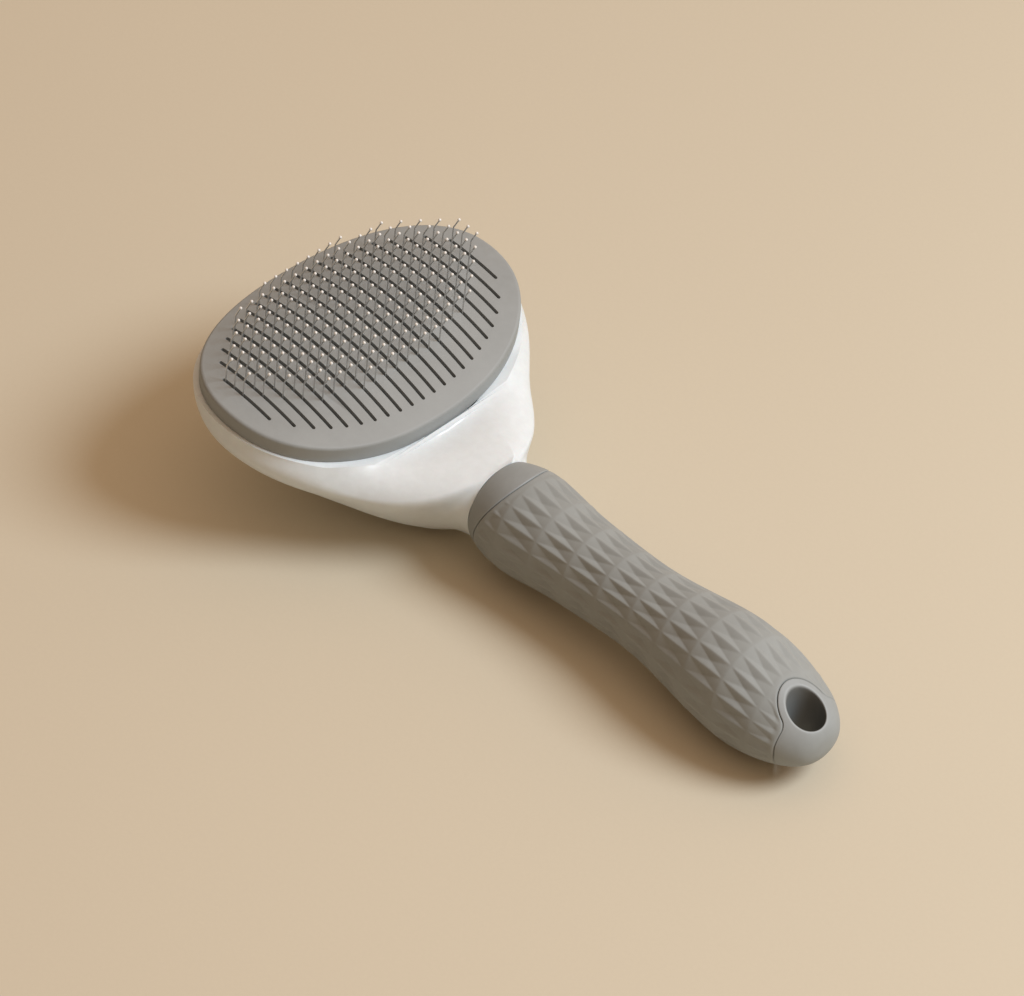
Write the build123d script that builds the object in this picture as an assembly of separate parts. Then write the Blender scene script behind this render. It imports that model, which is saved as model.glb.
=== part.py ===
from build123d import *
import os
from math import cos, sin, pi, radians, copysign

# Self-cleaning slicker brush, in millimetres.
# The brush lies on its back with the pins up. +X runs from the head to the handle's tip, +Y is
# across the head and +Z is up. The origin is under the middle of the brush, on the table.
# A thumb button on the back of the head lifts the slotted cleaning plate along the pins, which
# pushes the hair off, and a compression spring draws the plate back.

# ---- place of the head and of the handle ----
HEAD_X = -66.27         # crown of the cleaning plate
HEAD_Z = 42.7
HEAD_TILT = 7.5         # the face leans towards the handle by this many degrees
NECK_X = HEAD_X + 53.1  # plane in which the shell's neck meets the handle
AXIS_Z = 16.1           # height of the handle's core

# ---- cleaning plate: a cap that is curved about a line across the head ----
PLATE_HALF_X = 31.5
PLATE_HALF_Y = 46.5
PLATE_POWER = 2.19      # superellipse power of the outline
FACE_R = 89.0           # radius of the face's curve
PLATE_T = 2.0
RIM_DEPTH = 4.65
RIM_T = 1.8
RIM_FILLET = 0.9
SLOT_ROWS = 22
SLOT_PITCH = 3.753
SLOT_W = 0.95
SLOT_FIELD_Y = 41.5     # the slots' ends follow an oval of this half-width
SLOT_FIELD_POWER = 2.1
SLOT_FRONT = 26.0       # reach of the middle slots towards the handle
SLOT_BACK = 27.6        # and away from it

# ---- pins ----
PIN_R = 0.2
PIN_PITCH = 3.35        # along a slot
PIN_FIRST_X = -25.1
PIN_COLUMNS = 13
PIN_BACK_MARGIN = 0.9   # from a slot's back end to the first pin that fits
PIN_FRONT_MARGIN = 9.0  # the slots run on past the last pin, to let the bent tips through
PIN_KNEE = 5.4          # height of the bend above the face
PIN_UPPER = 4.3         # length above the bend
PIN_BEND = 22.0         # degrees, towards the handle
PIN_BEND_R = 1.5
TIP_R = 0.42

# ---- fixed deck under the plate ----
DECK_DROP = 2.9         # from the face to the top of the deck
DECK_T = 4.0
DECK_GAP = 0.35         # round the edge, inside the plate's rim
BACKING_T = 1.5
BACKING_INSET = 2.6
PIN_HOLE_R = 0.3
GAP = 0.3               # clearance of the moving pieces
RUNNING_GAP = 0.05      # and of the pieces that are fitted together

# ---- moving frame: posts, yoke, button and spring ----
TRAVEL = 6.0
POST_R = 1.25
POST_BACK_X = -6.675
POST_FRONT_X = 20.125
POST_Y = 5 * SLOT_PITCH
YOKE_TOP = -12.0 - TRAVEL   # at full travel the yoke stops just under the backing plate
YOKE_T = 2.4
YOKE_ARM_W = 5.0
YOKE_EYE_R = 3.2        # round each post
YOKE_HUB_R = 11.2
BARB_R = 1.6            # barbs on the posts' ends, which snap under the yoke
BARB_T = 1.2
BARB_TAIL = 0.4
BUTTON_X = (POST_BACK_X + POST_FRONT_X) / 2
BUTTON_HALF_X = 8.3
BUTTON_HALF_Y = 11.0
BUTTON_POWER = 2.4
FLANGE_TOP = -23.6
FLANGE_T = 1.5
FLANGE_W = 1.3
GUIDE_W = 1.5          # guide sleeve round the button, out to this much past it
BUTTON_FACE_Z = -38.3
BUTTON_FACE_SLOPE = 10.0
BUTTON_FILLET = 1.6
DISH_R = 34.0           # shallow thumb dish
DISH_DEPTH = 0.9
STEM_R = 7.0
POCKET_R = 5.2
POCKET_FLOOR = -28.6
YOKE_SCREW_Y = 8.8
YOKE_SCREW_L = 6.0
SPRING_R = 4.1
SPRING_WIRE_R = 0.45
SPRING_TURNS = 7
SPRING_GAP = 0.1

# ---- screws ----
SCREW_R = 1.0
SCREW_HEAD_R = 1.9
SCREW_HEAD_T = 1.2
SCREW_L = 9.0
SCREW_PINCH = 0.1       # a screw's radius over its pilot hole's
SCREW_LOOSE = 0.15      # a through hole's radius over the screw's
RECESS_L = 2.2
RECESS_W = 0.5
RECESS_DEPTH = 0.7
BOSS_R = 2.6
BOSS_BACK_X = -3.325
BOSS_FRONT_X = 13.425
BOSS_Y = 9 * SLOT_PITCH

# ---- head shell: oval sections that fan out from a line above the neck ----
FAN_X = NECK_X
FAN_Z = 30.9
# degrees from the mouth, near and far reach from the fan's line, half-width, power
FAN_SECTIONS = [
    (0.0, 21.6, 88.0, 47.5, 2.15),
    (4.0, 22.0, 86.9, 47.8, 2.15),
    (10.0, 22.6, 77.5, 46.3, 2.4),
    (22.0, 19.0, 61.2, 37.6, 2.8),
    (36.0, 9.8, 49.8, 29.0, 2.4),
    (52.0, 5.0, 42.5, 21.5, 2.3),
    (72.0, 3.3, 31.9, 13.4, 2.1),
    (97.5, 2.4, 27.0, 12.3, 2.0),
]
SHELL_T = 2.0
CAVITY_MOUTH_ANGLE = -4.0     # the hollow runs out past the mouth
CAVITY_END_ANGLE = 66.0       # and ends in a wall ahead of the neck
LIP_DROP = RIM_DEPTH + 0.25   # from the face to the top of the lip that the rim sits on
LIP_OUT = 1.5                 # the lip ends this far past the plate, where the shell climbs to the neck

# ---- handle: oval sections along +X ----
# distance from the neck plane, half-width, half-height, height of the centre
HANDLE_SECTIONS = [
    (-4.0, 10.8, 10.8, 16.4),
    (0.0, 12.4, 12.4, 16.2),
    (5.0, 13.7, 13.7, 16.1),
    (10.0, 14.0, 14.0, 16.0),
    (22.0, 12.7, 12.7, 15.85),
    (36.0, 11.8, 11.8, 15.8),
    (52.0, 11.5, 11.5, 16.0),
    (68.0, 13.2, 13.2, 16.0),
    (84.0, 15.0, 14.85, 14.95),
    (92.0, 14.85, 13.75, 14.0),
    (100.0, 13.5, 11.3, 13.15),
    (106.0, 11.25, 8.8, 12.5),
    (109.5, 8.8, 6.8, 12.1),
    (111.6, 6.3, 4.9, 11.95),
    (112.5, 3.9, 3.0, 11.9),
    (112.8, 1.8, 1.4, 11.9),
]
COLLAR_FRONT = -1.5
COLLAR_REAR = [(0.0, 0.0), (2.6, 18.5), (9.6, 32.0)]   # oblique seam: along the handle, height
CORE_R = 9.0
CORE_END = 88.0
CORE_BORE_R = 7.0
CORE_BORE_START = 34.0
SPIGOT_R = 6.5
SPIGOT_BORE_R = 4.6
SPIGOT_END = 14.0
SPIGOT_WALL = 2.5
SPIGOT_BORE_START = -14.0
NECK_SCREW_R = 1.6
NECK_SCREW_HEAD_R = 3.2
NECK_SCREW_HEAD_T = 2.2
NECK_SCREW_L = 16.0
HOLE_R = 4.9            # hanging hole, straight down through the end cap
HOLE_S = 106.0
RING_R = 7.2            # the end cap bites into the grip around the hole
CAP_SEAM_S = 106.0
CAP_SEAM_FILLET = 2.0
PLUG_START = 78.0

HEAD = Location((HEAD_X, 0, HEAD_Z), (0, HEAD_TILT, 0))
BIG = 200.0


def superellipse(half_x, half_y, power, count=24):
    points = []
    for i in range(count):
        c, s = cos(2 * pi * i / count), sin(2 * pi * i / count)
        x = copysign(half_x * abs(c) ** (2 / power), c)
        y = copysign(half_y * abs(s) ** (2 / power), s)
        points.append((x, y))
    return points


def oval(half_x, half_y, power):
    return make_face(Spline(*superellipse(half_x, half_y, power), periodic=True))


def split_oval(points):
    """A face inside a smooth closed curve, drawn as two halves so that sections loft well."""
    half = len(points) // 2
    side = Vector(0, 1, 0)
    first = Spline(*points[:half + 1], tangents=(side, -side))
    second = Spline(*points[half:], points[0], tangents=(-side, side))
    return make_face(first + second)


def prism(face, low, high):
    return extrude(Pos(0, 0, low) * face, amount=high - low)


def under_face(drop):
    """All the space below the face's curve, lowered by drop, in the head's frame."""
    return Pos(0, 0, -FACE_R) * Rot(90, 0, 0) * Cylinder(FACE_R - drop, BIG)


def round_bar(x, y, radius, low, high):
    return prism(Pos(x, y) * Circle(radius), low, high)


def along_x(radius, start, end, z=AXIS_Z):
    """A cylinder along the handle; start and end are counted from the neck plane."""
    plane = Plane(origin=(NECK_X + start, 0, z), x_dir=(0, 1, 0), z_dir=(1, 0, 0))
    return extrude(plane * Circle(radius), amount=end - start)


def slot_reach(y, reach):
    return reach * (1 - (abs(y) / SLOT_FIELD_Y) ** SLOT_FIELD_POWER) ** (1 / SLOT_FIELD_POWER)


def row_y(row):
    return (row - (SLOT_ROWS - 1) / 2) * SLOT_PITCH


def face_z(x):
    return (FACE_R ** 2 - x ** 2) ** 0.5 - FACE_R


def post_places():
    return [(x, y) for x in (POST_BACK_X, POST_FRONT_X) for y in (-POST_Y, POST_Y)]


def boss_places():
    return [(x, y) for x in (BOSS_BACK_X, BOSS_FRONT_X) for y in (-BOSS_Y, BOSS_Y)]


# ---- moving pieces ----
def cleaning_plate():
    outline = oval(PLATE_HALF_X, PLATE_HALF_Y, PLATE_POWER)
    plate = (prism(outline, -25, 5) & under_face(0)) - under_face(RIM_DEPTH)
    top = plate.faces().sort_by(Axis.Z)[-1]
    plate = fillet(top.edges(), RIM_FILLET)
    inside = oval(PLATE_HALF_X - RIM_T, PLATE_HALF_Y - RIM_T, PLATE_POWER)
    plate -= prism(inside, -25, 5) & under_face(PLATE_T)
    slots = []
    for row in range(SLOT_ROWS):
        y = row_y(row)
        front, back = slot_reach(y, SLOT_FRONT), -slot_reach(y, SLOT_BACK)
        slot = Pos((front + back) / 2, y) * SlotOverall(front - back, SLOT_W)
        slots.append(prism(slot, -8, 2))
    plate -= slots
    barb_top = YOKE_TOP - YOKE_T - RUNNING_GAP
    for x, y in post_places():
        plate += round_bar(x, y, POST_R, barb_top - BARB_T - BARB_TAIL, 0) & under_face(PLATE_T / 2)
        plate += round_bar(x, y, BARB_R, barb_top - BARB_T, barb_top)
    return plate


def push_yoke():
    outline = Pos(BUTTON_X, 0) * Circle(YOKE_HUB_R)
    for x, y in post_places():
        arm = Line((BUTTON_X, 0), (x, y))
        middle = arm @ 0.5
        turn = arm.tangent_angle_at(0)
        outline += Pos(middle.X, middle.Y) * Rot(0, 0, turn) * Rectangle(arm.length, YOKE_ARM_W)
        outline += Pos(x, y) * Circle(YOKE_EYE_R)
    outline -= Pos(BUTTON_X, 0) * Circle(POCKET_R)
    yoke = prism(outline, YOKE_TOP - YOKE_T, YOKE_TOP)
    for x, y in post_places():
        yoke -= round_bar(x, y, POST_R + RUNNING_GAP, YOKE_TOP - YOKE_T - 1, YOKE_TOP + 1)
    for y in (-YOKE_SCREW_Y, YOKE_SCREW_Y):
        yoke -= round_bar(BUTTON_X, y, SCREW_R + SCREW_LOOSE, YOKE_TOP - YOKE_T - 1, YOKE_TOP + 1)
    return yoke


def push_button():
    stem_top = YOKE_TOP - YOKE_T
    flange_low = FLANGE_TOP - FLANGE_T
    body = Pos(BUTTON_X, 0) * prism(oval(BUTTON_HALF_X, BUTTON_HALF_Y, BUTTON_POWER), -50, flange_low)
    thumb_face = Pos(BUTTON_X, 0, BUTTON_FACE_Z) * Rot(0, BUTTON_FACE_SLOPE, 0)
    body -= thumb_face * Pos(0, 0, -BIG / 2) * Box(BIG, BIG, BIG)
    low_face = body.faces().sort_by(Axis.Z)[0]
    body = fillet(low_face.edges(), BUTTON_FILLET)
    body -= Pos(BUTTON_X, 0, BUTTON_FACE_Z - DISH_R + DISH_DEPTH) * Sphere(DISH_R)
    flange = oval(BUTTON_HALF_X + FLANGE_W, BUTTON_HALF_Y + FLANGE_W, BUTTON_POWER)
    body += Pos(BUTTON_X, 0) * prism(flange, flange_low, FLANGE_TOP)
    body += round_bar(BUTTON_X, 0, STEM_R, FLANGE_TOP, stem_top)
    for y in (-YOKE_SCREW_Y, YOKE_SCREW_Y):
        body += round_bar(BUTTON_X, y, BOSS_R - 0.2, FLANGE_TOP, stem_top)
    body -= round_bar(BUTTON_X, 0, POCKET_R, POCKET_FLOOR, stem_top + 1)
    for y in (-YOKE_SCREW_Y, YOKE_SCREW_Y):
        body -= round_bar(BUTTON_X, y, SCREW_R - SCREW_PINCH, FLANGE_TOP + 0.2, stem_top + 1)
    return body


def yoke_screws():
    screws = []
    for y in (-YOKE_SCREW_Y, YOKE_SCREW_Y):
        screw = round_bar(BUTTON_X, y, SCREW_HEAD_R, YOKE_TOP, YOKE_TOP + SCREW_HEAD_T)
        screw += round_bar(BUTTON_X, y, SCREW_R, YOKE_TOP - YOKE_SCREW_L, YOKE_TOP)
        screw -= cross_recess(BUTTON_X, y, YOKE_TOP + SCREW_HEAD_T)
        screws.append(screw)
    return screws


def cross_recess(x, y, top):
    blade = Box(RECESS_L, RECESS_W, 2 * RECESS_DEPTH)
    return Pos(x, y, top) * (blade + Rot(0, 0, 90) * blade)


def return_spring():
    top = face_z(BUTTON_X + SPRING_R) - DECK_DROP - DECK_T - BACKING_T - SPRING_GAP
    low = POCKET_FLOOR + RUNNING_GAP
    height = top - low - 2 * SPRING_WIRE_R
    path = Helix(pitch=height / SPRING_TURNS, height=height, radius=SPRING_R)
    wire = sweep(Plane(origin=path @ 0, z_dir=path % 0) * Circle(SPRING_WIRE_R), path=path, is_frenet=True)
    return Pos(BUTTON_X, 0, low + SPRING_WIRE_R) * wire


# ---- fixed pieces of the head ----
def pin_places(row):
    """Places along one slot where a pin stands."""
    y = row_y(row)
    low = PIN_BACK_MARGIN - slot_reach(y, SLOT_BACK)
    high = slot_reach(y, SLOT_FRONT) - PIN_FRONT_MARGIN
    places = [PIN_FIRST_X + PIN_PITCH * i for i in range(PIN_COLUMNS)]
    return [(x, y) for x in places if low <= x <= high]


def carrier_seat(x):
    """Height of the counterbore's floor, which sinks the screw head just below the deck."""
    return face_z(x) - DECK_DROP - SCREW_HEAD_T - 0.1


def pin_carrier():
    inset = RIM_T + DECK_GAP
    outline = oval(PLATE_HALF_X - inset, PLATE_HALF_Y - inset, PLATE_POWER)
    deck = (prism(outline, -25, 5) & under_face(DECK_DROP)) - under_face(DECK_DROP + DECK_T)
    holes = [round_bar(x, y, POST_R + GAP, -25, 5) for x, y in post_places()]
    for x, y in boss_places():
        seat = carrier_seat(x)
        holes.append(round_bar(x, y, SCREW_R + SCREW_LOOSE, -25, 5))
        holes.append(round_bar(x, y, SCREW_HEAD_R + SCREW_LOOSE, seat, 5))
    for row in range(SLOT_ROWS):
        holes += [round_bar(x, y, PIN_HOLE_R, -25, 5) for x, y in pin_places(row)]
    return deck - holes


def pin_backing_plate():
    inset = RIM_T + DECK_GAP + BACKING_INSET
    outline = oval(PLATE_HALF_X - inset, PLATE_HALF_Y - inset, PLATE_POWER)
    low = DECK_DROP + DECK_T
    backing = (prism(outline, -25, 5) & under_face(low)) - under_face(low + BACKING_T)
    holes = [round_bar(x, y, POST_R + GAP, -25, 5) for x, y in post_places()]
    holes += [round_bar(x, y, BOSS_R + GAP, -25, 5) for x, y in boss_places()]
    return backing - holes


def pin_wire():
    """One pin, with its knee's corner above the origin of the face."""
    lean = radians(PIN_BEND)
    foot = Vector(0, 0, -DECK_DROP - DECK_T)
    knee = Vector(0, 0, PIN_KNEE)
    tip = knee + Vector(sin(lean), 0, cos(lean)) * PIN_UPPER
    path = FilletPolyline(foot, knee, tip, radius=PIN_BEND_R)
    wire = sweep(Plane(origin=foot, z_dir=(0, 0, 1)) * Circle(PIN_R), path=path)
    return wire, tip


def carrier_screws():
    screws = []
    for x, y in boss_places():
        seat = carrier_seat(x)
        screw = round_bar(x, y, SCREW_HEAD_R, seat, seat + SCREW_HEAD_T)
        screw += round_bar(x, y, SCREW_R, seat - SCREW_L, seat)
        screw -= cross_recess(x, y, seat + SCREW_HEAD_T)
        screws.append(screw)
    return screws


def fan_section(angle, near, far, half_width, power):
    tilt = radians(angle - HEAD_TILT)
    middle, half = (far + near) / 2, (far - near) / 2
    points = []
    for u, y in superellipse(half, half_width, power):
        reach = middle + u
        points.append((FAN_X - reach * cos(tilt), y, FAN_Z - reach * sin(tilt)))
    return split_oval(points)


def head_shell():
    outer = loft([fan_section(*section) for section in FAN_SECTIONS])
    inner_sections = [(a, near + SHELL_T, far - SHELL_T, half - SHELL_T, power)
                      for a, near, far, half, power in FAN_SECTIONS]
    inner_sections.insert(0, (CAVITY_MOUTH_ANGLE,) + inner_sections[0][1:])
    cavity = loft([fan_section(*section) for section in inner_sections])
    tilt = radians(CAVITY_END_ANGLE - HEAD_TILT)
    end_wall = Plane(origin=(FAN_X, 0, FAN_Z), x_dir=(0, 1, 0), z_dir=(sin(tilt), 0, -cos(tilt)))
    cavity -= end_wall.location * Pos(0, 0, BIG / 2) * Box(BIG, BIG, BIG)
    shell = outer - cavity
    bosses = [round_bar(x, y, BOSS_R, -60, 0) & under_face(DECK_DROP + DECK_T) for x, y in boss_places()]
    guide = oval(BUTTON_HALF_X + GUIDE_W, BUTTON_HALF_Y + GUIDE_W, BUTTON_POWER)
    bosses.append(Pos(BUTTON_X, 0) * prism(guide, -60, FLANGE_TOP - FLANGE_T - GAP))
    for boss in bosses:
        shell += outer & (HEAD * boss)
    cuts = []
    for x, y in boss_places():
        top = face_z(x) - DECK_DROP - DECK_T
        cuts.append(round_bar(x, y, SCREW_R - SCREW_PINCH, top - SCREW_L, top + 1))
    bore = oval(BUTTON_HALF_X + GAP, BUTTON_HALF_Y + GAP, BUTTON_POWER)
    cuts.append(Pos(BUTTON_X, 0) * prism(bore, -60, FLANGE_TOP - FLANGE_T))
    lip_end = PLATE_HALF_X + LIP_OUT
    above = Pos((lip_end - BIG) / 2, 0, 0) * Box(BIG + lip_end, BIG, 60)
    cuts.append(above - under_face(LIP_DROP))
    shell -= [HEAD * cut for cut in cuts]
    behind = Pos(NECK_X + COLLAR_FRONT + BIG / 2, 0, 0) * Box(BIG, BIG, BIG)
    shell -= behind
    shell += along_x(SPIGOT_R, COLLAR_FRONT - 6, SPIGOT_END)
    shell -= along_x(SPIGOT_BORE_R, SPIGOT_BORE_START, SPIGOT_END - SPIGOT_WALL)
    shell -= along_x(NECK_SCREW_R + SCREW_LOOSE, 0, SPIGOT_END + 1)
    return shell


# ---- handle ----
def handle_body():
    sections = []
    for s, half_width, half_height, z in HANDLE_SECTIONS:
        points = [(NECK_X + s, y, z + up) for up, y in superellipse(half_height, half_width, 2)]
        sections.append(split_oval(points))
    return loft(sections)


def collar_zone():
    """Everything ahead of the oblique seam."""
    low, middle, high = [(NECK_X + s, z) for s, z in COLLAR_REAR]
    seam = ThreePointArc(low, middle, high)
    start = NECK_X + COLLAR_FRONT
    rest = Polyline(high, (high[0], high[1] + 20), (start, high[1] + 20), (start, -20), (low[0], -20), low)
    return extrude(Plane.XZ * make_face(seam + rest), amount=BIG / 2, both=True)


def cap_zone():
    """Everything behind the end cap's seam: straight across, and round the hanging hole."""
    plan = Pos(NECK_X + CAP_SEAM_S + BIG / 2, 0) * Rectangle(BIG, BIG)
    plan += Pos(NECK_X + HOLE_S, 0) * Circle(RING_R)
    inner_corners = plan.vertices().sort_by(lambda v: abs(v.Y))[:2]
    plan = fillet(inner_corners, CAP_SEAM_FILLET)
    return prism(plan, -BIG / 2, BIG / 2)


def handle_core():
    core = along_x(CORE_R, COLLAR_FRONT, CORE_END)
    core -= along_x(SPIGOT_R + RUNNING_GAP, COLLAR_FRONT - 1, SPIGOT_END + GAP)
    core -= along_x(NECK_SCREW_R - SCREW_PINCH, SPIGOT_END, CORE_BORE_START - 2)
    core -= along_x(CORE_BORE_R, CORE_BORE_START, CORE_END + 1)
    return core


def neck_screw():
    seat = SPIGOT_END - SPIGOT_WALL
    screw = along_x(NECK_SCREW_HEAD_R, seat - NECK_SCREW_HEAD_T, seat)
    screw += along_x(NECK_SCREW_R, seat, seat + NECK_SCREW_L)
    blade = Box(2.0, 0.8, 4.0) + Box(2.0, 4.0, 0.8)
    return screw - Pos(NECK_X + seat - NECK_SCREW_HEAD_T, 0, AXIS_Z) * blade


def collar_ring(body):
    return (body & collar_zone()) - along_x(CORE_R, -10, 30)


def grip_sleeve(body):
    front = Pos(NECK_X + COLLAR_FRONT - BIG / 2, 0, 0) * Box(BIG, BIG, BIG)
    sleeve = body - front - collar_zone() - cap_zone()
    return sleeve - along_x(CORE_R, -10, CORE_END) - along_x(CORE_BORE_R, CORE_END - 1, CAP_SEAM_S)


def end_cap(body):
    cap = (body & cap_zone()) + along_x(CORE_BORE_R - RUNNING_GAP, PLUG_START, HOLE_S)
    bore = prism(Pos(NECK_X + HOLE_S, 0) * Circle(HOLE_R), -5, 40)
    cap -= bore
    return cap


def name_node(name, shape):
    solids = shape if isinstance(shape, list) else [shape]
    whole = Compound(children=[solid for item in solids for solid in item.solids()])
    export_step(whole, f"parts/{name}.step")


def main():
    os.makedirs("parts", exist_ok=True)
    name_node("cleaning_plate", HEAD * cleaning_plate())
    name_node("push_yoke", HEAD * push_yoke())
    name_node("push_button", HEAD * push_button())
    name_node("yoke_screws", [HEAD * screw for screw in yoke_screws()])
    name_node("return_spring", HEAD * return_spring())
    name_node("pin_carrier", HEAD * pin_carrier())
    name_node("pin_backing_plate", HEAD * pin_backing_plate())
    name_node("carrier_screws", [HEAD * screw for screw in carrier_screws()])
    wire, tip = pin_wire()
    ball = Sphere(TIP_R)
    tips = []
    for row in range(SLOT_ROWS):
        pins = []
        for x, y in pin_places(row):
            foot = HEAD * Pos(x, y, face_z(x))
            pins.append(foot * wire)
            tips.append(foot * Pos(tip.X, tip.Y, tip.Z) * ball)
        name_node(f"pin_row_{row + 1:02d}", pins)
    name_node("pin_tips", tips)
    name_node("head_shell", head_shell())
    body = handle_body()
    name_node("collar_ring", collar_ring(body))
    name_node("handle_core", handle_core())
    name_node("neck_screw", neck_screw())
    name_node("grip_sleeve", grip_sleeve(body))
    name_node("end_cap", end_cap(body))


main()
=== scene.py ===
from math import cos, sin, pi, radians, sqrt, atan2
import bpy
import bmesh
import numpy as np
from mathutils import Matrix, Vector


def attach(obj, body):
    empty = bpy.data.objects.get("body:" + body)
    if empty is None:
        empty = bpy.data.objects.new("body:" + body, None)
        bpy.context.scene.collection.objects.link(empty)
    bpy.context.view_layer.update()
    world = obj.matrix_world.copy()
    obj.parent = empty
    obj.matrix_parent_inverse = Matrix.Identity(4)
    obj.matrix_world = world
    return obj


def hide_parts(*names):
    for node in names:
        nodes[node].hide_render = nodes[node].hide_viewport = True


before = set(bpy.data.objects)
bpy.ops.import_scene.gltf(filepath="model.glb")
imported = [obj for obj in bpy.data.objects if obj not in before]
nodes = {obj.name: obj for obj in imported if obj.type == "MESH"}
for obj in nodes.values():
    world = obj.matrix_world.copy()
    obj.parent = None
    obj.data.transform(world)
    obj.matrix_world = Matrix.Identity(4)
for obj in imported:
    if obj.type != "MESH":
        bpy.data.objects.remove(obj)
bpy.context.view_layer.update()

# The slicker brush lies on its back. Most pieces keep their CAD shapes and get materials here. The shell's
# front is filled out. The collar ring, the grip sleeve with its moulded dents and the end cap are new meshes.
MM = 0.001

# ---- handle: the CAD model's oval sections ----
NECK_X = -13.17
# distance from the neck plane, half-width, half-height, height of the centre
HANDLE_SECTIONS = [
    (-4.0, 10.8, 10.8, 16.4),
    (0.0, 12.4, 12.4, 16.2),
    (5.0, 13.7, 13.7, 16.1),
    (10.0, 14.0, 14.0, 16.0),
    (22.0, 12.7, 12.7, 15.85),
    (36.0, 11.8, 11.8, 15.8),
    (52.0, 11.5, 11.5, 16.0),
    (68.0, 13.2, 13.2, 16.0),
    (84.0, 15.0, 14.85, 14.95),
    (92.0, 14.85, 13.75, 14.0),
    (100.0, 13.5, 11.3, 13.15),
    (106.0, 11.25, 8.8, 12.5),
    (109.5, 8.8, 6.8, 12.1),
    (111.6, 6.3, 4.9, 11.95),
    (112.5, 3.9, 3.0, 11.9),
    (112.8, 1.8, 1.4, 11.9),
    (112.86, 0.0, 0.0, 11.9),
]
COLLAR_FRONT = -1.5
COLLAR_SEAM = [(0.0, 0.0), (2.6, 18.5), (9.6, 32.0)]   # along the handle, height
HOLE_S = 106.0
HOLE_R = 4.9
HOLE_ROUND = 0.75
RING_R = 7.2
SEAM_S = 106.0
SEAM_FILLET = 2.0
SEAM_HALF_GAP = 0.08
EDGE_R = 0.4
EDGE_STEPS = [0, 0.03, 0.08, 0.16, 0.26, EDGE_R]   # rings along a rounded edge
GROOVE_DEPTH = 1.3

# ---- front of the head shell ----
FRONT_START = -34.5    # on the middle line; both ends curve back towards the sides
FRONT_START_CURVE = 0.0085
FRONT_END = -15.5
FRONT_END_CURVE = 0.022
FRONT_HALF_WIDTH = 34.0
FRONT_RISE = 2.2

# ---- moulded dents ----
DENT_ROWS = 22
DENT_PITCH = 11.1
DENT_START = 9.95
DENT_LENGTH = 10.9
DENT_FILL = 0.95       # share of a row's width that the dent takes
DENT_DEPTH = 0.74
DENT_APEX = 0.56       # across the row, from the edge nearer the top
ROW_DRAW = 0.145       # the rows draw together over the palm swell's end
ROW_COLUMNS = 16       # mesh columns in each row
GRIP_RINGS = 400
COLLAR_COLUMNS = 180
COLLAR_RINGS = 40


def spline_columns(rows, count):
    """Natural cubic spline through the rows, by chord length, at many points."""
    rows = np.array(rows, float)
    step = np.sqrt(((rows[1:, :2] - rows[:-1, :2]) ** 2).sum(1))
    knots = np.concatenate([[0], np.cumsum(step)])
    n = len(rows)
    a, b = np.eye(n), np.zeros((n, rows.shape[1]))
    for i in range(1, n - 1):
        a[i, i - 1:i + 2] = step[i - 1], 2 * (step[i - 1] + step[i]), step[i]
        b[i] = 6 * ((rows[i + 1] - rows[i]) / step[i] - (rows[i] - rows[i - 1]) / step[i - 1])
    curve = np.linalg.solve(a, b)
    u = np.linspace(0, knots[-1], count)
    k = np.clip(np.searchsorted(knots, u, side="right") - 1, 0, n - 2)
    h, left, right = step[k][:, None], (u - knots[k])[:, None], (knots[k + 1] - u)[:, None]
    return (curve[k] * right ** 3 / (6 * h) + curve[k + 1] * left ** 3 / (6 * h)
            + (rows[k] / h - curve[k] * h / 6) * right
            + (rows[k + 1] / h - curve[k + 1] * h / 6) * left)


DENSE = spline_columns(HANDLE_SECTIONS, 6000)


def handle_at(s):
    return [np.interp(s, DENSE[:, 0], DENSE[:, i]) for i in (1, 2, 3)]


def handle_point(s, theta, inward=0.0):
    """Point on the handle: theta is from straight up, positive towards -Y."""
    width, height, centre = handle_at(s)
    y, up = -width * np.sin(theta), height * np.cos(theta)
    ny, nz = y / np.maximum(width, 0.01) ** 2, up / np.maximum(height, 0.01) ** 2
    size = np.sqrt(ny ** 2 + nz ** 2)
    return np.stack([NECK_X + s, y - inward * ny / size, centre + up - inward * nz / size], -1)


def circle_through(points):
    (ax, ay), (bx, by), (cx, cy) = points
    d = 2 * (ax * (by - cy) + bx * (cy - ay) + cx * (ay - by))
    a, b, c = ax ** 2 + ay ** 2, bx ** 2 + by ** 2, cx ** 2 + cy ** 2
    ux = (a * (by - cy) + b * (cy - ay) + c * (ay - by)) / d
    uy = (a * (cx - bx) + b * (ax - cx) + c * (bx - ax)) / d
    return ux, uy, sqrt((ax - ux) ** 2 + (ay - uy) ** 2)


def collar_seam_at(z):
    ux, uy, r = circle_through(COLLAR_SEAM)
    side = -1 if ux > COLLAR_SEAM[0][0] else 1
    return ux + side * np.sqrt(np.maximum(r ** 2 - (z - uy) ** 2, 0))


def cap_seam_at(y, gap=0.0):
    """Where the end cap's seam crosses, at a distance y from the middle."""
    y = np.abs(y)
    ring, bend = RING_R - gap, SEAM_FILLET + gap
    centre_s = SEAM_S - SEAM_FILLET
    centre_y = sqrt((RING_R + SEAM_FILLET) ** 2 - SEAM_FILLET ** 2)
    meet = ring / (RING_R + SEAM_FILLET) * centre_y
    on_ring = SEAM_S - np.sqrt(np.maximum(ring ** 2 - y ** 2, 0))
    on_bend = centre_s + np.sqrt(np.maximum(bend ** 2 - (centre_y - y) ** 2, 0))
    return np.where(y < meet, on_ring, np.where(y < centre_y, on_bend, SEAM_S + gap))


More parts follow.
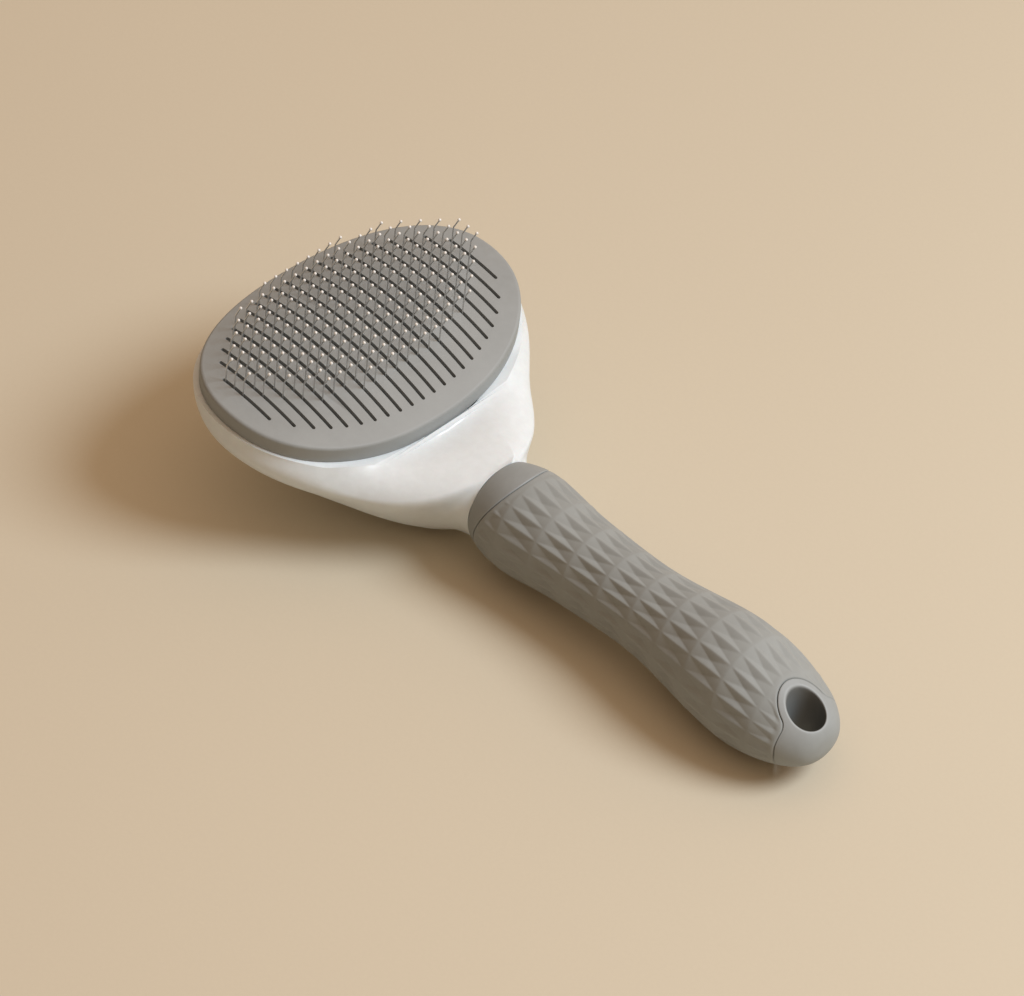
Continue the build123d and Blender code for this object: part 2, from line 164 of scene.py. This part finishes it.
def make_mesh(name, points, faces):
    mesh = bpy.data.meshes.new(name)
    mesh.from_pydata((np.asarray(points) * MM).tolist(), [], faces)
    mesh.update()
    bm = bmesh.new()
    bm.from_mesh(mesh)
    bmesh.ops.remove_doubles(bm, verts=bm.verts, dist=2e-6)
    bmesh.ops.recalc_face_normals(bm, faces=bm.faces)
    for face in bm.faces:
        face.smooth = True
    bm.to_mesh(mesh)
    bm.free()
    obj = bpy.data.objects.new(name, mesh)
    bpy.context.scene.collection.objects.link(obj)
    return obj


def grid_faces(rings, around):
    faces = []
    for i in range(rings - 1):
        for j in range(around):
            k = (j + 1) % around
            faces.append((i * around + j, i * around + k, (i + 1) * around + k, (i + 1) * around + j))
    return faces


def edge_drop(distance, radius):
    """How far a rounded edge has dropped, at a distance from its end."""
    d = np.clip(distance, 0, radius)
    return radius - np.sqrt(np.maximum(radius ** 2 - (radius - d) ** 2, 0))


# ---- head shell ----
def smooth_step(x, low, high):
    t = np.clip((x - low) / (high - low), 0, 1)
    return t * t * (3 - 2 * t)


def build_shell():
    """The CAD shell, with its front filled out between the plate's rim and the collar."""
    node = nodes["head_shell"]
    count = len(node.data.vertices)
    points = np.empty(count * 3)
    node.data.vertices.foreach_get("co", points)
    matrix = np.array(node.matrix_world)
    points = (points.reshape(-1, 3) @ matrix[:3, :3].T + matrix[:3, 3]) / MM
    x, y, z = points.T
    start = FRONT_START - FRONT_START_CURVE * y ** 2
    end = FRONT_END - FRONT_END_CURVE * y ** 2
    along = np.clip((x - start) / np.maximum(end - start, 1), 0, 1)
    across = np.clip(1 - (y / FRONT_HALF_WIDTH) ** 4, 0, 1)
    points[:, 2] += FRONT_RISE * np.sin(pi * along ** 0.85) * across * smooth_step(z, 17, 23)
    faces = [tuple(face.vertices) for face in node.data.polygons]
    shell = make_mesh("shell_moulded", points, faces)
    shell.data.set_sharp_from_angle(angle=radians(32))
    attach(shell, "brush")
    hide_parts("head_shell")
    return shell


# ---- collar ring ----
def build_collar():
    around = COLLAR_COLUMNS
    theta = np.arange(around) * 2 * pi / around
    front = np.full(around, COLLAR_FRONT + SEAM_HALF_GAP)
    rear = np.full(around, 5.0)
    for _ in range(60):
        width, height, centre = handle_at(rear)
        rear = 0.5 * rear + 0.5 * collar_seam_at(centre + height * np.cos(theta))
    rear = rear - SEAM_HALF_GAP
    rings = [handle_point(front, theta, EDGE_R + 1.2), handle_point(front, theta, EDGE_R + 0.5)]
    for e in EDGE_STEPS:
        rings.append(handle_point(front + e, theta, edge_drop(np.full(around, e), EDGE_R)))
    for m in np.linspace(0, 1, COLLAR_RINGS)[1:-1]:
        s = front + EDGE_R + m * (rear - front - 2 * EDGE_R)
        rings.append(handle_point(s, theta))
    for e in EDGE_STEPS[::-1]:
        rings.append(handle_point(rear - e, theta, edge_drop(np.full(around, e), EDGE_R)))
    rings += [handle_point(rear, theta, EDGE_R + 0.5), handle_point(rear, theta, EDGE_R + 1.2)]
    collar = make_mesh("collar_moulded", np.concatenate(rings), grid_faces(len(rings), around))
    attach(collar, "brush")
    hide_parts("collar_ring")
    return collar


# ---- grip sleeve ----
def dent_depth(s, row):
    """Depth of the moulded dents: sunk pyramids, in rows along the handle."""
    along = (s - DENT_START) / DENT_PITCH
    u = (along - np.floor(along) - 0.5) * DENT_PITCH / (DENT_LENGTH / 2)
    across = np.abs(row) - np.floor(np.abs(row))
    lead = (across - 0.5) / DENT_FILL + 0.5
    v = np.where(lead < DENT_APEX, 1 - lead / DENT_APEX, (lead - DENT_APEX) / (1 - DENT_APEX))
    v = np.where((lead < 0) | (lead > 1), 1, v)
    reach = np.maximum(np.abs(u), np.abs(v))
    soft = 0.03
    depth = 1 - reach
    depth = 0.5 * (depth + np.sqrt(depth ** 2 + soft ** 2)) - 0.5 * soft
    depth = np.where(reach > 1.25, 0, np.maximum(depth, 0))
    return DENT_DEPTH * depth


def build_grip():
    around = DENT_ROWS * ROW_COLUMNS
    row = np.arange(around) / ROW_COLUMNS - DENT_ROWS / 2
    theta = row * 2 * pi / DENT_ROWS
    front = np.full(around, 5.0)
    rear = np.full(around, 104.0)

    def drawn(s):
        return theta - ROW_DRAW * smooth_step(s, 68, 103) * np.sin(theta)

    for _ in range(60):
        width, height, centre = handle_at(front)
        front = 0.5 * front + 0.5 * collar_seam_at(centre + height * np.cos(drawn(front)))
        width, height, centre = handle_at(rear)
        rear = 0.6 * rear + 0.4 * cap_seam_at(width * np.sin(drawn(rear)), -SEAM_HALF_GAP)
    front = front + SEAM_HALF_GAP
    rings = []
    for edge in (GROOVE_DEPTH, GROOVE_DEPTH / 2):
        rings.append(handle_point(front, drawn(front), EDGE_R + edge))
    length = rear - front
    for e in EDGE_STEPS:
        s = front + e
        rings.append(handle_point(s, drawn(s), edge_drop(np.full(around, e), EDGE_R)))
    for m in np.linspace(0, 1, GRIP_RINGS)[1:-1]:
        s = front + EDGE_R + m * (length - 2 * EDGE_R)
        depth = dent_depth(s, row)
        fade = smooth_step(np.minimum(s - front, rear - s), 0.5, 2.2) * (1 - 0.45 * smooth_step(s, 93, 103))
        rings.append(handle_point(s, drawn(s), depth * fade))
    for e in EDGE_STEPS[::-1]:
        s = rear - e
        rings.append(handle_point(s, drawn(s), edge_drop(np.full(around, e), EDGE_R)))
    for edge in (GROOVE_DEPTH / 2, GROOVE_DEPTH):
        rings.append(handle_point(rear, drawn(rear), EDGE_R + edge))
    grip = make_mesh("grip_moulded", np.concatenate(rings), grid_faces(len(rings), around))
    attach(grip, "brush")
    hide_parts("grip_sleeve")
    return grip


# ---- end cap ----
def cap_outline():
    """The cap's outline from above, from the tip round one side to the front of its ring."""
    gap = SEAM_HALF_GAP
    ring, bend = RING_R - gap, SEAM_FILLET + gap
    centre_y = sqrt((RING_R + SEAM_FILLET) ** 2 - SEAM_FILLET ** 2)
    back = DENSE[DENSE[:, 0] > SEAM_S + gap][::-1]
    side = back[np.linspace(0, len(back) - 1, 70).astype(int)][:, :2]
    corner_y = side[-1, 1]
    start = atan2(side[0, 1], side[0, 0] - HOLE_S)
    outline, hole_angle = [], []
    for s, y in side:
        outline.append((s, y))
        hole_angle.append(radians(80) * atan2(y, s - HOLE_S) / (pi / 2))
    hole_angle[0] = start
    for i in range(1, 11):
        outline.append((SEAM_S + gap, corner_y + (centre_y - corner_y) * i / 10))
        hole_angle.append(radians(80 + 12 * i / 10))
    meet = atan2(SEAM_FILLET, centre_y)
    for i in range(1, 13):
        turn = pi / 2 - (pi / 2 - meet) * i / 12
        outline.append((SEAM_S - SEAM_FILLET + bend * sin(turn), centre_y - bend * cos(turn)))
        hole_angle.append(radians(92) + (pi / 2 + meet - radians(92)) * i / 12)
    for i in range(1, 61):
        turn = pi / 2 + meet + (pi / 2 - meet) * i / 60
        outline.append((HOLE_S + ring * cos(turn), ring * sin(turn)))
        hole_angle.append(turn)
    return np.array(outline), np.array(hole_angle), len(side)


def build_cap():
    half, angle, sides = cap_outline()
    seam = np.arange(len(half)) >= sides - 1
    outline = np.concatenate([half, half[-2:0:-1] * (1, -1)])
    angle = np.concatenate([angle, -angle[-2:0:-1]])
    seam = np.concatenate([seam, seam[-2:0:-1]])
    around = len(outline)
    hole = np.stack([HOLE_S + HOLE_R * np.cos(angle), HOLE_R * np.sin(angle)], -1)
    span = np.sqrt(((outline - hole) ** 2).sum(1))
    rings_count = 60
    shells = []
    for sign in (1, -1):
        rings = []
        for i in range(rings_count + 1):
            t = sin(i / rings_count * pi / 2)
            plan = hole * (1 - t) + outline * t
            s, y = plan[:, 0], plan[:, 1]
            width, height, centre = handle_at(s)
            width = np.maximum(width, 0.01)
            root = np.sqrt(np.maximum(1 - (y / width) ** 2, 0))
            up = sign * height * root
            ny, nz = y / width ** 2, up / np.maximum(height, 0.01) ** 2
            size = np.maximum(np.sqrt(ny ** 2 + nz ** 2), 1e-9)
            inward = np.where(seam, edge_drop((1 - t) * span, EDGE_R), 0)
            rim = edge_drop(np.hypot(s - HOLE_S, y) - HOLE_R, HOLE_ROUND)
            z = centre + up - sign * rim - inward * nz / size
            rings.append(np.stack([NECK_X + s, y - inward * ny / size, z], -1))
        for deeper in (GROOVE_DEPTH / 2, GROOVE_DEPTH):
            inward = np.where(seam, EDGE_R + deeper, 0)
            s, y = outline[:, 0], outline[:, 1]
            rings.append(np.stack([NECK_X + s, y - inward * ny / size, centre + up - inward * nz / size], -1))
        shells.append(rings)
    top, bottom = shells
    wall = [top[0] * (1 - w) + bottom[0] * w for w in np.linspace(0, 1, 25)[1:-1]]
    rings = top[::-1] + wall + bottom
    cap = make_mesh("end_cap_moulded", np.concatenate(rings), grid_faces(len(rings), around))
    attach(cap, "brush")
    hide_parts("end_cap")
    return cap


# ---- materials ----
class Nodes:
    """A small builder for one node material."""

    def __init__(self, name):
        self.material = bpy.data.materials.new(name)
        self.material.use_nodes = True
        self.tree = self.material.node_tree
        self.tree.nodes.clear()
        self.shader = self.add("ShaderNodeBsdfPrincipled")
        out = self.add("ShaderNodeOutputMaterial")
        self.tree.links.new(self.shader.outputs[0], out.inputs[0])
        self.coords = self.add("ShaderNodeTexCoord").outputs["Object"]

    def add(self, kind):
        return self.tree.nodes.new(kind)

    def link(self, source, target):
        self.tree.links.new(source, target)

    def noise(self, scale, detail=3.0, rough=0.5, stretch=None):
        node = self.add("ShaderNodeTexNoise")
        node.inputs["Scale"].default_value = scale
        node.inputs["Detail"].default_value = detail
        node.inputs["Roughness"].default_value = rough
        source = self.coords
        if stretch:
            mapping = self.add("ShaderNodeMapping")
            mapping.inputs["Scale"].default_value = stretch
            self.link(source, mapping.inputs["Vector"])
            source = mapping.outputs[0]
        self.link(source, node.inputs["Vector"])
        return node.outputs["Fac"]

    def ramp(self, source, stops):
        node = self.add("ShaderNodeValToRGB")
        ramp = node.color_ramp
        while len(ramp.elements) < len(stops):
            ramp.elements.new(0.5)
        for element, (place, colour) in zip(ramp.elements, stops):
            element.position = place
            element.color = (*colour, 1.0)
        self.link(source, node.inputs[0])
        return node.outputs[0]

    def spread(self, source, low, high, start=0.3, end=0.7):
        node = self.add("ShaderNodeMapRange")
        node.inputs["From Min"].default_value = start
        node.inputs["From Max"].default_value = end
        node.inputs["To Min"].default_value = low
        node.inputs["To Max"].default_value = high
        self.link(source, node.inputs["Value"])
        return node.outputs[0]

    def mix(self, factor, one, two, kind="MULTIPLY"):
        node = self.add("ShaderNodeMix")
        node.data_type = "RGBA"
        node.blend_type = kind
        if isinstance(factor, float):
            node.inputs[0].default_value = factor
        else:
            self.link(factor, node.inputs[0])
        self.link(one, node.inputs[6])
        self.link(two, node.inputs[7])
        return node.outputs[2]

    def painted_shade_in_bore(self, centre_x, radius, darkest):
        """White outside an upright bore, and darker on its wall: painted shade for the shade deep in the
        hole.
        """
        flat = self.add("ShaderNodeVectorMath")
        flat.operation = "MULTIPLY"
        flat.inputs[1].default_value = (1.0, 1.0, 0.0)
        self.link(self.coords, flat.inputs[0])
        away = self.add("ShaderNodeVectorMath")
        away.operation = "DISTANCE"
        away.inputs[1].default_value = (centre_x, 0.0, 0.0)
        self.link(flat.outputs[0], away.inputs[0])
        near = self.spread(away.outputs["Value"], 0.0, 1.0, radius + 0.00002, radius + 0.0003)
        return self.ramp(near, [(0.0, (darkest, darkest, darkest)), (1.0, (1.0, 1.0, 1.0))])

    def bump(self, source, strength, distance, after=None):
        node = self.add("ShaderNodeBump")
        node.inputs["Strength"].default_value = strength
        node.inputs["Distance"].default_value = distance
        self.link(source, node.inputs["Height"])
        if after is not None:
            self.link(after, node.inputs["Normal"])
        return node.outputs[0]


def tint(colour, factor):
    return tuple(min(c * factor, 1.0) for c in colour)


def moulded(name, colour, rough, grain=2600.0, grain_bump=0.12, flow_bump=0.05, variation=0.05,
            coat=0.0, sheen=0.0, subsurface=0.0, specular=0.5, bore_for_painted_shade=None):
    """Moulded plastic or rubber: a fine etched grain, slow flow marks and slight dust in the tone."""
    m = Nodes(name)
    broad = m.noise(45.0, 3.0, 0.55)
    fine = m.noise(grain, 2.0, 0.6)
    middle = m.noise(420.0, 4.0, 0.6)
    tone = m.ramp(broad, [(0.3, tint(colour, 1 - variation)), (0.7, tint(colour, 1 + variation))])
    speck = m.ramp(middle, [(0.35, (0.955, 0.955, 0.955)), (0.65, (1.0, 1.0, 1.0))])
    colour_out = m.mix(1.0, tone, speck)
    # painted shade: darkens the wall of a deep hole, where shade falls
    if bore_for_painted_shade:
        colour_out = m.mix(1.0, colour_out, m.painted_shade_in_bore(*bore_for_painted_shade))
    m.link(colour_out, m.shader.inputs["Base Color"])
    m.link(m.spread(middle, rough - 0.05, rough + 0.06), m.shader.inputs["Roughness"])
    flow = m.bump(broad, flow_bump, 0.0004)
    m.link(m.bump(fine, grain_bump, 0.00006, flow), m.shader.inputs["Normal"])
    m.shader.inputs["Coat Weight"].default_value = coat
    m.shader.inputs["Coat Roughness"].default_value = 0.22
    m.shader.inputs["Sheen Weight"].default_value = sheen
    m.shader.inputs["Sheen Roughness"].default_value = 0.5
    m.shader.inputs["Subsurface Weight"].default_value = subsurface
    m.shader.inputs["Subsurface Scale"].default_value = 0.002
    m.shader.inputs["Specular IOR Level"].default_value = specular
    return m.material


def steel(name, colour, rough, stretch, streak=900.0):
    """Drawn or turned steel, with fine lines one way and a faint stain."""
    m = Nodes(name)
    lines = m.noise(streak, 4.0, 0.6, stretch)
    stain = m.noise(160.0, 3.0, 0.55)
    tone = m.ramp(stain, [(0.3, tint(colour, 0.86)), (0.7, tint(colour, 1.06))])
    shade = m.ramp(lines, [(0.3, (0.88, 0.88, 0.88)), (0.7, (1.0, 1.0, 1.0))])
    m.link(m.mix(1.0, tone, shade), m.shader.inputs["Base Color"])
    m.link(m.spread(lines, rough - 0.07, rough + 0.09), m.shader.inputs["Roughness"])
    m.link(m.bump(lines, 0.15, 0.00003), m.shader.inputs["Normal"])
    m.shader.inputs["Metallic"].default_value = 1.0
    return m.material


PLATE_GREY = (0.286, 0.310, 0.314)
COLLAR_GREY = (0.286, 0.315, 0.322)
GRIP_GREY = (0.278, 0.302, 0.300)
WHITE = (0.70, 0.775, 0.82)
LOOKS = {
    "cleaning_plate": moulded("plate_plastic", PLATE_GREY, 0.58, grain_bump=0.16),
    "push_yoke": moulded("yoke_plastic", (0.10, 0.10, 0.10), 0.5),
    "push_button": moulded("button_plastic", PLATE_GREY, 0.5, grain_bump=0.12),
    "yoke_screws": steel("yoke_screw_steel", (0.58, 0.57, 0.55), 0.34, (1, 1, 8)),
    "return_spring": steel("spring_steel", (0.62, 0.62, 0.61), 0.28, (1, 1, 6)),
    "pin_carrier": moulded("deck_plastic", (0.018, 0.018, 0.018), 0.55),
    "pin_backing_plate": moulded("backing_plastic", (0.03, 0.03, 0.03), 0.6),
    "carrier_screws": steel("carrier_screw_steel", (0.58, 0.57, 0.55), 0.34, (1, 1, 8)),
    "pins": steel("pin_wire_steel", (0.78, 0.78, 0.77), 0.36, (1, 1, 0.2), 4000.0),
    "pin_tips": moulded("tip_coating", (0.80, 0.81, 0.80), 0.22, grain=9000.0, grain_bump=0.04, coat=0.5),
    "head_shell": moulded("shell_plastic", WHITE, 0.36, grain=1800.0, grain_bump=0.03, flow_bump=0.02,
                          variation=0.006, coat=0.12, subsurface=0.03),
    "collar_ring": moulded("collar_plastic", COLLAR_GREY, 0.5, grain_bump=0.10),
    "handle_core": moulded("core_plastic", (0.06, 0.06, 0.06), 0.5),
    "neck_screw": steel("neck_screw_steel", (0.58, 0.57, 0.55), 0.34, (8, 1, 1)),
    "grip_sleeve": moulded("grip_rubber", GRIP_GREY, 0.68, grain=3200.0, grain_bump=0.22, sheen=0.12,
                           variation=0.045, specular=0.4),
    # the cap's hole wall gets painted shade
    "end_cap": moulded("cap_plastic", COLLAR_GREY, 0.5, grain_bump=0.10,
                       bore_for_painted_shade=((NECK_X + HOLE_S) * MM, HOLE_R * MM, 0.5)),
}


def paint(obj, look):
    if not obj.material_slots:
        obj.data.materials.append(look)
    for slot in obj.material_slots:
        slot.material = look


for name, obj in nodes.items():
    key = "pins" if name.startswith("pin_row") else name
    paint(obj, LOOKS[key])

shell = build_shell()
paint(shell, LOOKS["head_shell"])
collar = build_collar()
paint(collar, LOOKS["collar_ring"])
grip = build_grip()
paint(grip, LOOKS["grip_sleeve"])
cap = build_cap()
paint(cap, LOOKS["end_cap"])


# ---- floor, light and camera ----
def build_floor():
    m = Nodes("floor_paper")
    broad = m.noise(1.6, 2.0, 0.5)
    fine = m.noise(900.0, 3.0, 0.6)
    tone = m.ramp(broad, [(0.35, (0.59, 0.543, 0.431)), (0.65, (0.61, 0.563, 0.449))])
    speck = m.ramp(fine, [(0.35, (0.985, 0.985, 0.985)), (0.65, (1.0, 1.0, 1.0))])
    m.link(m.mix(1.0, tone, speck), m.shader.inputs["Base Color"])
    m.link(m.spread(fine, 0.82, 0.92), m.shader.inputs["Roughness"])
    m.link(m.bump(fine, 0.05, 0.00005), m.shader.inputs["Normal"])
    m.shader.inputs["Specular IOR Level"].default_value = 0.25
    mesh = bpy.data.meshes.new("floor")
    side, count = 3.0, 12
    points, faces = [], []
    for i in range(count + 1):
        for j in range(count + 1):
            points.append((side * (2 * i / count - 1), side * (2 * j / count - 1), -0.00005))
    for i in range(count):
        for j in range(count):
            k = i * (count + 1) + j
            faces.append((k, k + count + 1, k + count + 2, k + 1))
    mesh.from_pydata(points, [], faces)
    floor = bpy.data.objects.new("floor", mesh)
    bpy.context.scene.collection.objects.link(floor)
    paint(floor, m.material)


def aim(obj, place, target):
    obj.location = place
    obj.rotation_euler = (Vector(place) - Vector(target)).to_track_quat("Z", "Y").to_euler()


def area_light(name, direction, distance, size, energy, colour):
    data = bpy.data.lights.new(name, "AREA")
    data.shape = "DISK"
    data.size = size
    data.energy = energy
    data.color = colour
    light = bpy.data.objects.new(name, data)
    bpy.context.scene.collection.objects.link(light)
    place = Vector(direction).normalized() * distance
    aim(light, place, (0, 0, 0.01))


def build_camera():
    azimuth, elevation = radians(46.27), radians(43.36)
    target, distance = Vector((-26.27, 14.9, 0.0)) * MM, 1.3013
    back = Vector((sin(azimuth) * cos(elevation), -cos(azimuth) * cos(elevation), sin(elevation)))
    right = Vector((cos(azimuth), sin(azimuth), 0.0))
    up = back.cross(right)
    data = bpy.data.cameras.new("camera")
    data.sensor_width = 36.0
    data.lens = 175.9
    camera = bpy.data.objects.new("camera", data)
    bpy.context.scene.collection.objects.link(camera)
    turn = Matrix((right, up, back)).transposed().to_4x4()
    camera.matrix_world = Matrix.Translation(target + back * distance) @ turn
    bpy.context.scene.camera = camera


SKY_LEAN = (0.20, 0.42, 0.885)     # the soft dome is brightest overhead
SKY_FLOOR = 0.35
SKY_STRENGTH = 0.64


def build_sky():
    world = bpy.data.worlds.new("studio")
    world.use_nodes = True
    tree = world.node_tree
    sky = tree.nodes["Background"]
    sky.inputs["Color"].default_value = (1.0, 0.69, 0.46, 1.0)
    toward = tree.nodes.new("ShaderNodeVectorMath")
    toward.operation = "DOT_PRODUCT"
    toward.inputs[1].default_value = SKY_LEAN
    tree.links.new(tree.nodes.new("ShaderNodeTexCoord").outputs["Generated"], toward.inputs[0])
    fall = tree.nodes.new("ShaderNodeMapRange")
    fall.inputs["From Min"].default_value = -SKY_FLOOR
    fall.inputs["From Max"].default_value = 1.0
    fall.inputs["To Min"].default_value = 0.0
    fall.inputs["To Max"].default_value = SKY_STRENGTH * (1.0 + SKY_FLOOR)
    tree.links.new(toward.outputs["Value"], fall.inputs["Value"])
    tree.links.new(fall.outputs[0], sky.inputs["Strength"])
    bpy.context.scene.world = world


build_floor()
build_camera()
area_light("key", (0.78, 0.56, 1.0), 1.3, 0.64, 14.7, (0.85, 0.925, 1.0))
build_sky()
bpy.context.scene.view_settings.view_transform = "Standard"
